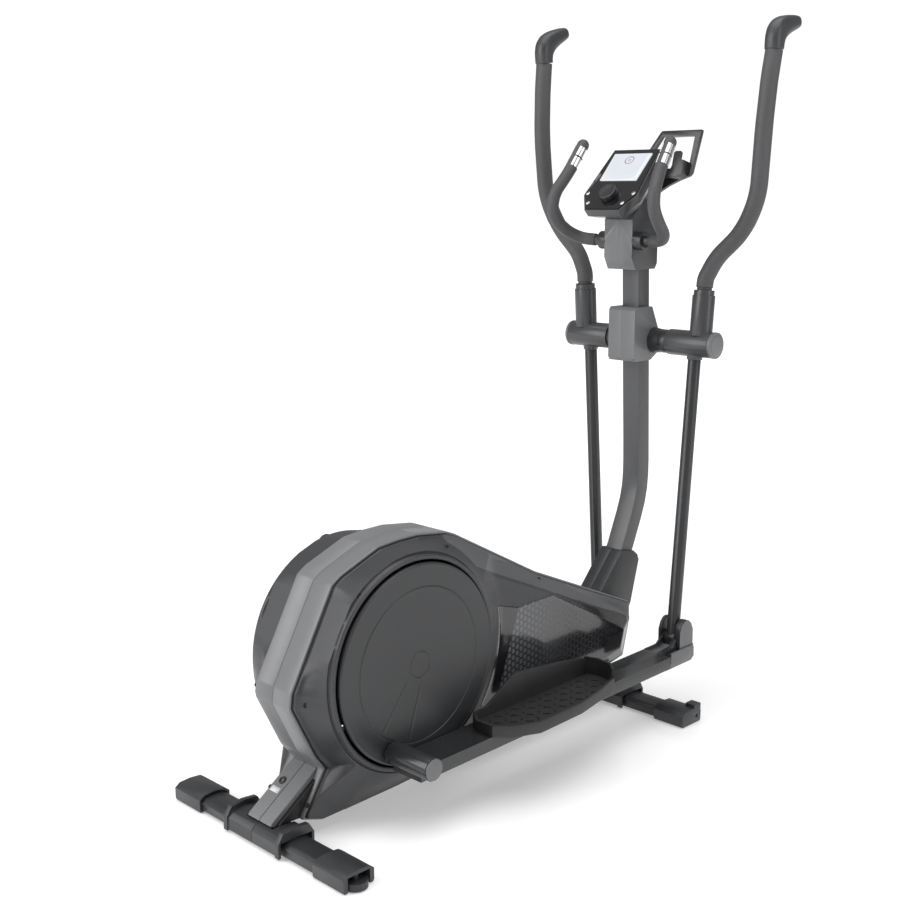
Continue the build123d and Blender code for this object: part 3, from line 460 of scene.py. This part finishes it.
def honeycomb_film():
    """Black gloss film. Each point is folded into the nearer of two staggered lattices of cells
    CELL wide; its six-sided distance from the cell's centre draws pale cells near the ring and
    thin cell outlines further forward, both faded by the forward position."""
    made = moulded("honeycomb_film", (0.012, 0.012, 0.014), rough=0.16, grain=900.0, depth=0.02,
                   coat=0.6)
    tree = made.node_tree

    def wired(kind, op, values):
        """Node of `kind` doing `op`; each value is another node's output or a plain number."""
        node = tree.nodes.new(kind)
        node.operation = op
        for socket, value in zip(node.inputs, values):
            if hasattr(value, "is_linked"):
                tree.links.new(value, socket)
            else:
                socket.default_value = value
        return node.outputs

    def vec(op, *values):
        return wired("ShaderNodeVectorMath", op, values)

    def num(op, *values):
        return wired("ShaderNodeMath", op, values)[0]

    def six(folded):
        """Six-sided distance from a cell's centre: 0 there and 0.5 on its outline."""
        bare = vec("ABSOLUTE", folded)[0]
        lean = vec("DOT_PRODUCT", bare, (0.5, 0.8660254, 0.0))["Value"]
        straight = vec("DOT_PRODUCT", bare, (1.0, 0.0, 0.0))["Value"]
        return num("MAXIMUM", lean, straight)

    where = tree.nodes.new("ShaderNodeTexCoord").outputs["Object"]
    split = tree.nodes.new("ShaderNodeSeparateXYZ")
    tree.links.new(where, split.inputs[0])
    joined = tree.nodes.new("ShaderNodeCombineXYZ")
    for axis, socket in (("Z", "X"), ("X", "Y")):
        cells = num("ADD", num("DIVIDE", split.outputs[axis], CELL), 200.0)
        tree.links.new(cells, joined.inputs[socket])
    pitch, half = (1.0, 1.7320508, 1.0), (0.5, 0.8660254, 0.0)
    first = vec("SUBTRACT", vec("MODULO", joined.outputs[0], pitch)[0], half)[0]
    moved = vec("SUBTRACT", joined.outputs[0], half)[0]
    second = vec("SUBTRACT", vec("MODULO", moved, pitch)[0], half)[0]
    near = num("MINIMUM", six(first), six(second))
    filled, line = num("LESS_THAN", near, 0.36), num("GREATER_THAN", near, 0.452)
    ahead = num("SUBTRACT", split.outputs["X"], SHIFT_X)
    cell_fade = remap(tree, ahead, -0.15, 0.06, 1.0, 0.0).outputs[0]
    line_fade = remap(tree, ahead, -0.02, 0.24, 0.75, 0.25).outputs[0]
    raised = num("MULTIPLY", num("SUBTRACT", split.outputs["Z"], 0.2), -0.36)
    started = num("GREATER_THAN", num("ADD", ahead, raised), -0.162)
    outlines = num("MULTIPLY", num("MULTIPLY", line, line_fade), 0.6)
    amount = num("MAXIMUM", num("MULTIPLY", filled, cell_fade), outlines)
    mix = tree.nodes.new("ShaderNodeMix")
    mix.data_type = "RGBA"
    mix.inputs["B"].default_value = (0.13, 0.135, 0.145, 1.0)
    body = tree.nodes["Principled BSDF"]
    tree.links.new(num("MULTIPLY", amount, started), mix.inputs["Factor"])
    tree.links.new(body.inputs["Base Color"].links[0].from_socket, mix.inputs["A"])
    tree.links.new(mix.outputs["Result"], body.inputs["Base Color"])
    return made


def thickened(piece, thickness, offset):
    """Gives a sheet its thickness in metres: offset -1 builds it inwards, 0 to both sides."""
    wall = piece.modifiers.new("thickness", "SOLIDIFY")
    wall.thickness, wall.offset = thickness, offset


film = honeycomb_film()
# The panel's left edge is an arc round the axle, and the others are straight. A Coons patch
# fills them: the two runs between opposite edges, less the blend of the four corners.
COLUMNS, ROWS = 150, 70
FILM_R = 277.0
across, down = np.linspace(0, 1, COLUMNS), np.linspace(0, 1, ROWS)
arc = np.linspace(math.radians(9.5), math.radians(-36.0), 90)
left_edge = polyline(AXLE + FILM_R * np.stack([np.cos(arc), np.sin(arc)], 1), down)
right_edge = polyline([(290, 217), (288, 205), (266, 128)], down)
top_edge = polyline([left_edge[0], (-117, 336), (4, 339), (290, 217)], across)
low_edge = polyline([left_edge[-1], (-150, 92), (266, 128)], across)
s, t = across[None, :, None], down[:, None, None]
coons = (1 - t) * top_edge[None] + t * low_edge[None]
coons = coons + (1 - s) * left_edge[:, None] + s * right_edge[:, None]
coons -= (1 - s) * (1 - t) * top_edge[0] + s * (1 - t) * top_edge[-1] + (1 - s) * t * low_edge[0]
coons -= s * t * low_edge[-1]
for side, hand in ((1, "left"), (-1, "right")):
    laid = np.insert(coons, 1, side_height(coons) + 0.7, 2)
    laid[..., 1] *= side
    panel = put("side_film_" + hand, laid, quads(ROWS, COLUMNS), "frame", film,
                flip=side < 0)
    thickened(panel, 0.0012, -1.0)
    if side > 0:
        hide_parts("side_inlays")


def turned(name, centre, axis, profile, body, finish, around=64):
    """Turned piece: a profile of (radius, height) pairs carried round an axis through `centre`.
    The first and last radius may be 0, which closes the pole."""
    axis = Vector(axis).normalized()
    u = axis.orthogonal().normalized()
    v = axis.cross(u)
    spin = np.linspace(0, 2 * math.pi, around + 1)[:-1]
    ring = np.cos(spin)[:, None] * np.array(u) + np.sin(spin)[:, None] * np.array(v)
    radius, rise = np.array(profile, float).T[..., None, None]
    pts = np.array(centre, float) + radius * ring[None] + rise * np.array(axis)
    return outward(put(name, pts, quads(len(profile), around, True), body, finish))


screw_dark = moulded("screw_dark", (0.02, 0.02, 0.021), rough=0.35, grain=800.0, depth=0.1, metal=0.7)
HEAD = ((0, -2.2), (1.9, -2.2), (2.0, 0.2), (4.2, 0.5), (4.9, 0.2), (5.0, -2.5), (0, -2.6))
SCREWS = ((-600, 477), (-345, 516), (-37, 379), (-703, 280), (-690, 70))
LEG_SIDE_Y = 58.0    # the lowest screw sits here, on the side of the leg
order = np.argsort(turns)
for side, hand in ((1, "left"), (-1, "right")):
    for k, (x, z) in enumerate(SCREWS):
        reach = np.interp(math.atan2(z - AXLE[1], x - AXLE[0]), turns[order], far[order])
        on_face = float(side_height(np.array([[x, z]], float), reach)[0])
        y = on_face if z > 100 else LEG_SIDE_Y
        head = turned("screw_%s_%d" % (hand, k + 1), (x, y * side, z), (0, side, 0), HEAD, "frame",
                      screw_dark, 24)
        if k == 0 and side > 0:
            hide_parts("housing_screws")
socket_black = moulded("socket_black", (0.012, 0.012, 0.012), rough=0.4)
coat_node("power_socket", socket_black)
COLLAR = ((4.4, -4), (4.4, 2.6), (7.0, 3.2), (8.2, 2.2), (8.4, -2), (4.4, -4))
turned("socket_collar", (-690, 17, 96.5), (-82, 0, 117), COLLAR, "frame", socket_black,
       40)
label_white = moulded("label_white", (0.75, 0.75, 0.76), rough=0.45, grain=500.0, depth=0.02)
lie = np.array([-117, -82]) / math.hypot(117, 82)
up = np.array([-82, 117]) / math.hypot(82, 117)
(top_x, top_z), (low_x, low_z) = [np.array([-703, 87.4]) + lie * a + up * 0.5 for a in (0, 12)]
sheet = [(top_x, 6, top_z), (top_x, 30, top_z), (low_x, 30, low_z), (low_x, 6, low_z)]
plate = put("rating_label_blank", sheet, [(0, 1, 2, 3)], "frame", label_white)
thickened(plate, 0.0004, 0.0)

# ---- Crank discs --------------------------------------------------------
# Round covers that turn with the cranks: thin moulded plates with a rolled rim, one round
# groove, a pressed centre cap and two creases running out to the pedal pin.
PINS = {-1: np.array([-539.78, 155.35]), 1: np.array([-383.42, 466.25])}
FRONT_Y, BACK_Y = 130.4, 118.2       # distance of the cover's face and of its back edge
GROOVE_R, CAP_R = 156.0, 26.0        # radius of the round groove and of the pressed cap
SPOKES = 360
disc_grey = moulded("disc_grey", (0.026, 0.027, 0.029), rough=0.38, grain=1500.0, depth=0.05,
                    drift=0.05)
radii = np.concatenate([np.linspace(0.5, 24, 12), np.linspace(24.5, 27.5, 9),
                        np.linspace(29, 152, 60), np.linspace(153, 159, 13),
                        np.linspace(161, 197, 22), [198.5, 200, 201.2, 201.9, 202, 202]])
RIM_Y = (128.9, 128.3, 127.2, 125.6, 123.5, BACK_Y)
around = np.linspace(0, 2 * math.pi, SPOKES + 1)[:-1]
for side, hand in ((1, "left"), (-1, "right")):
    pin = PINS[side] - AXLE
    toward = math.atan2(pin[1], pin[0])
    rr, aa = np.meshgrid(radii, around + toward, indexing="ij")
    along, off = rr * np.cos(aa - toward), rr * np.sin(aa - toward)
    y = FRONT_Y - 1.4 * np.clip((rr - 154) / 40, 0, 1) ** 2
    y = y - 1.1 * np.exp(-((rr - GROOVE_R) / 1.1) ** 2) - 0.8 * np.exp(-((rr - CAP_R) / 0.9) ** 2)
    for lean in (-1, 1):
        wide = 13.0 + 0.17 * along
        gate = 1 / (1 + np.exp(-(along - 34) / 3)) / (1 + np.exp((along - 150) / 2))
        y = y - 0.9 * gate * np.exp(-((off - lean * wide) / 1.3) ** 2)
    y[-len(RIM_Y):] = np.array(RIM_Y)[:, None]
    pts = np.stack([AXLE[0] + rr * np.cos(aa), y * side, AXLE[1] + rr * np.sin(aa)], -1)
    back = np.stack([pts[0, :, 0], np.full(SPOKES, BACK_Y * side), pts[0, :, 2]], -1)
    pts = np.concatenate([pts, back[None]])
    plate = put("crank_cover_" + hand, pts, quads(len(pts), SPOKES, True), "crank", disc_grey)
    outward(plate)
    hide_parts("crank_disc_" + hand)

# ---- Mast and covers ----------------------------------------------------
# Bent steel box tube with well-rounded corners, welded to the spine. Two-piece moulded
# covers clip round its foot, its pivot and its head.
mast_paint = moulded("mast_paint", (0.06, 0.061, 0.064), rough=0.33, grain=600.0, depth=0.08, drift=0.05)
cover_grey = moulded("cover_grey", (0.13, 0.132, 0.137), rough=0.36, grain=1500.0, depth=0.06,
                     drift=0.05)
cover_dark = moulded("cover_dark", (0.022, 0.023, 0.025), rough=0.34, grain=1500.0, depth=0.06)
BODY_Y = 0.0385      # the covers' grey bodies end here, and their dark collars begin, m
eased("mast", "frame", mast_paint, 0.0075, angle=40, steps=4)
eased("mast_base_covers", "frame", cover_dark, 0.0022)
for node, roll in (("pivot_covers", 0.0028), ("head_covers", 0.003)):
    cover = eased(node, "frame", cover_grey, roll)
    second_finish(cover, cover_dark, lambda centre: np.abs(centre[:, 1]) > BODY_Y)

# ---- Fixed handlebar ----------------------------------------------------
# Painted steel tube through the head, bent twice on each side and sleeved with closed-cell
# foam; two pressed steel pulse plates wrap each end.
foam = moulded("foam", (0.055, 0.055, 0.058), rough=0.56, grain=2600.0, depth=0.4, drift=0.1)
sensor_steel = moulded("sensor_steel", (0.72, 0.72, 0.73), rough=0.2, grain=300.0, depth=0.03, metal=1.0)
coat_node("fixed_handlebar", powder_black)
eased("fixed_grips", "frame", foam, 0.0012, angle=50)
coat_node("pulse_sensors", sensor_steel)

# ---- Console ------------------------------------------------------------
# Moulded body with a gloss face, a lit display behind it, one turn-and-press knob and
# four small metal keys; a tablet frame stands behind on its own bracket.
console_body = moulded("console_body", (0.03, 0.031, 0.033), rough=0.3, grain=1500.0, depth=0.06)
gloss_black = moulded("gloss_black", (0.007, 0.007, 0.008), rough=0.1, grain=300.0, depth=0.01, coat=0.5)
holder_black = moulded("holder_black", (0.02, 0.02, 0.022), rough=0.3, grain=1500.0, depth=0.06)
key_steel = moulded("key_steel", (0.6, 0.6, 0.62), rough=0.22, grain=400.0, depth=0.04, metal=1.0)
knob_black = moulded("knob_black", (0.016, 0.016, 0.018), rough=0.25, grain=900.0, depth=0.05)
eased("console_housing", "frame", console_body, 0.004)
coat_node("console_panel", gloss_black)
# The face lies in a plane through FACE_O: U runs to the user's right, V up the face and N out.
FACE_O = np.array([320.3, 0.0, 1268.5])
FACE_U, FACE_V, FACE_N = np.array([[0, -1, 0], [0.6889, 0, 0.7249], [-0.7249, 0, 0.6889]])
GLASS_LOW, GLASS_TALL, GLASS_HALF, GLASS_FLARE = -40.8, 82.6, 51.3, 1.5
GLASS_COLUMNS, GLASS_ROWS = 13, 11


def lit_screen():
    """Lit display: a ring and soft tints by the distance from the ring's centre on the glass,
    with a faint cloud of a second tint."""
    screen = bpy.data.materials.new("lit_screen")
    screen.use_nodes = True
    tree = screen.node_tree
    glass = tree.nodes["Principled BSDF"]
    glass.inputs["Base Color"].default_value = (0.02, 0.02, 0.02, 1.0)
    glass.inputs["Roughness"].default_value = 0.12
    glass.inputs["Emission Strength"].default_value = 0.86
    uv = tree.nodes.new("ShaderNodeUVMap")
    uv.uv_map = "glass"
    centred = tree.nodes.new("ShaderNodeMapping")
    centred.inputs["Location"].default_value = (-0.5, -0.6, 0.0)
    centred.inputs["Scale"].default_value = (1.0, 0.8, 1.0)
    away = tree.nodes.new("ShaderNodeVectorMath")
    away.operation = "LENGTH"
    hoop = tree.nodes.new("ShaderNodeValToRGB")
    stops = hoop.color_ramp.elements
    pearl, violet = (0.93, 0.93, 0.96, 1), (0.3, 0.28, 0.6, 1)
    stops[0].position, stops[0].color = 0.0, pearl
    stops[1].position, stops[1].color = 0.035, (0.5, 0.5, 0.62, 1)
    for at, tone in ((0.05, pearl), (0.088, (0.9, 0.9, 0.96, 1)), (0.096, violet), (0.115, violet),
                     (0.123, (0.9, 0.9, 0.97, 1)), (0.4, (0.84, 0.89, 0.97, 1)),
                     (0.75, (0.93, 0.95, 0.98, 1))):
        stops.new(at).color = tone
    faint = tree.nodes.new("ShaderNodeTexNoise")
    faint.inputs["Scale"].default_value = 9.0
    blend = tree.nodes.new("ShaderNodeMix")
    blend.data_type = "RGBA"
    blend.inputs["B"].default_value = (0.8, 0.9, 0.93, 1)
    soft = remap(tree, faint.outputs["Fac"], 0.5, 0.75, 0.0, 0.5)
    for out, socket in ((uv.outputs["UV"], centred.inputs["Vector"]),
                        (centred.outputs["Vector"], away.inputs[0]),
                        (away.outputs["Value"], hoop.inputs["Fac"]),
                        (uv.outputs["UV"], faint.inputs["Vector"]),
                        (soft.outputs["Result"], blend.inputs["Factor"]),
                        (hoop.outputs["Color"], blend.inputs["A"]),
                        (blend.outputs["Result"], glass.inputs["Emission Color"])):
        tree.links.new(out, socket)
    return screen


gu, gv = np.meshgrid(np.linspace(0, 1, GLASS_COLUMNS), np.linspace(0, 1, GLASS_ROWS), indexing="ij")
half = GLASS_HALF + GLASS_FLARE * gv
sheet = FACE_O + ((gu * 2 - 1) * half)[..., None] * FACE_U
sheet = sheet + (GLASS_LOW + GLASS_TALL * gv)[..., None] * FACE_V - 0.5 * FACE_N
lit = put("display_glass", sheet, quads(GLASS_COLUMNS, GLASS_ROWS), "frame", lit_screen())
layer = lit.data.uv_layers.new(name="glass")
owner = np.empty(len(lit.data.loops), np.int32)
lit.data.loops.foreach_get("vertex_index", owner)
layer.data.foreach_set("uv", np.stack([gu, gv], -1).reshape(-1, 2)[owner].ravel())
thickened(lit, 0.003, -1.0)
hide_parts("display")
eased("tablet_holder", "frame", holder_black, 0.0022)
for key in ("left_upper", "left_lower", "right_upper", "right_lower"):
    eased("console_key_" + key, "key_" + key, key_steel, 0.0008)
eased("console_knob", "knob", knob_black, 0.0024)

# ---- Levers -------------------------------------------------------------
# Each lever is a welded hub with an upright socket; a steel rod runs down to the arm and
# a bent foam-covered handle, closed by a moulded horn, pushes into the socket.
lever_grey = moulded("lever_grey", (0.045, 0.046, 0.049), rough=0.32, grain=600.0, depth=0.08)
# The horn is lofted along HORN_PATH, (forwards, up) in mm from the swing axle with the lever
# upright; its sections are squared ovals, HORN_DEEP by HORN_WIDE in radius.
SWING_AXLE = (397.0, 870.0)
GRIP_Y, SOCKET_X, SOCKET_Z = 287.0, 15, 650
LEAN = {"right": math.radians(4.2550), "left": math.radians(-4.4466)}
HORN_PATH = np.array([(15, 651), (14.5, 664), (16, 676), (20, 687), (28, 696), (40, 703), (54, 709),
                      (69, 714), (83, 718), (93, 721), (98, 722.5), (101, 723.5)], float)
HORN_DEEP = np.array([19.6, 20.4, 22.4, 24.4, 24.4, 22.8, 20.4, 18.0, 16.0, 13.6, 9.5, 0.3])
HORN_WIDE = np.array([19.6, 19.8, 20.0, 20.0, 20.0, 19.8, 19.4, 18.8, 17.6, 15.4, 11.0, 0.3])
HORN_SQUARE = 2.6    # 2 is an oval, and more is squarer
AROUND = 40
fine, knots = np.linspace(0, 1, 66), np.linspace(0, 1, len(HORN_PATH))
line = np.stack([np.interp(fine, knots, HORN_PATH[:, k]) for k in (0, 1)], 1)
deep, wide = np.interp(fine, knots, HORN_DEEP), np.interp(fine, knots, HORN_WIDE)
for _ in range(3):
    line[1:-1] = (line[:-2] + line[1:-1] * 2 + line[2:]) / 4
run = np.gradient(line, axis=0)
run /= np.linalg.norm(run, axis=1)[:, None]
turn = np.linspace(0, 2 * math.pi, AROUND + 1)[:-1]
cx = np.sign(np.cos(turn)) * np.abs(np.cos(turn)) ** (2 / HORN_SQUARE)
cy = np.sign(np.sin(turn)) * np.abs(np.sin(turn)) ** (2 / HORN_SQUARE)
horn_x = line[:, :1] - run[:, 1:] * (deep[:, None] * cx)
horn_z = line[:, 1:] + run[:, :1] * (deep[:, None] * cx)
horn_y = GRIP_Y + wide[:, None] * cy
for hand, side in (("right", -1), ("left", 1)):
    lever = hand + "_lever"
    eased(hand + "_lever_hub", lever, lever_grey, 0.002, angle=40)
    eased(hand + "_hub_cap", lever, cover_grey, 0.001)
    eased(hand + "_lever_tube", lever, powder_black, 0.0012, angle=45)
    eased(hand + "_handlebar", lever, foam, 0.001, angle=50)
    cos, sin = math.cos(LEAN[hand]), math.sin(LEAN[hand])
    horn = np.stack([SWING_AXLE[0] + (horn_x * cos + horn_z * sin), horn_y * side,
                     SWING_AXLE[1] + (-horn_x * sin + horn_z * cos)], -1)
    middle = np.array([SWING_AXLE[0] + SOCKET_X * cos + SOCKET_Z * sin, GRIP_Y * side,
                       SWING_AXLE[1] - SOCKET_X * sin + SOCKET_Z * cos])
    rim = middle + (horn[0] - middle) * 0.97
    horn = np.concatenate([np.repeat(middle[None, None], AROUND, 1), rim[None], horn,
                           np.repeat(horn[-1].mean(0)[None, None], AROUND, 1)])
    cap = outward(put(hand + "_horn", horn, quads(len(horn), AROUND, True), lever, cap_black))
    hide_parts(hand + "_handle_cap")

# ---- Pedal arms ---------------------------------------------------------
# Oval steel beams from the crank pins to the levers, each with a moulded pedal tray and a
# two-part shoe over the front pivot.
arm_paint = moulded("arm_paint", (0.03, 0.031, 0.033), rough=0.26, grain=600.0, depth=0.08)
tread_black = moulded("tread_black", (0.022, 0.022, 0.023), rough=0.5, grain=1300.0, depth=0.2)
SHOE_Y = 0.1895      # past this the shoe's plug shows in the light grey, m
for hand in ("right", "left"):
    arm = hand + "_arm"
    eased(hand + "_pedal_arm", arm, arm_paint, 0.003)
    shoe = eased(hand + "_arm_covers", arm, cap_black, 0.002)
    second_finish(shoe, cover_grey, lambda centre: np.abs(centre[:, 1]) > SHOE_Y)
    eased(hand + "_pedal", arm, tread_black, 0.0016)
    coat_node(hand + "_pivot_bolt", bare_steel)
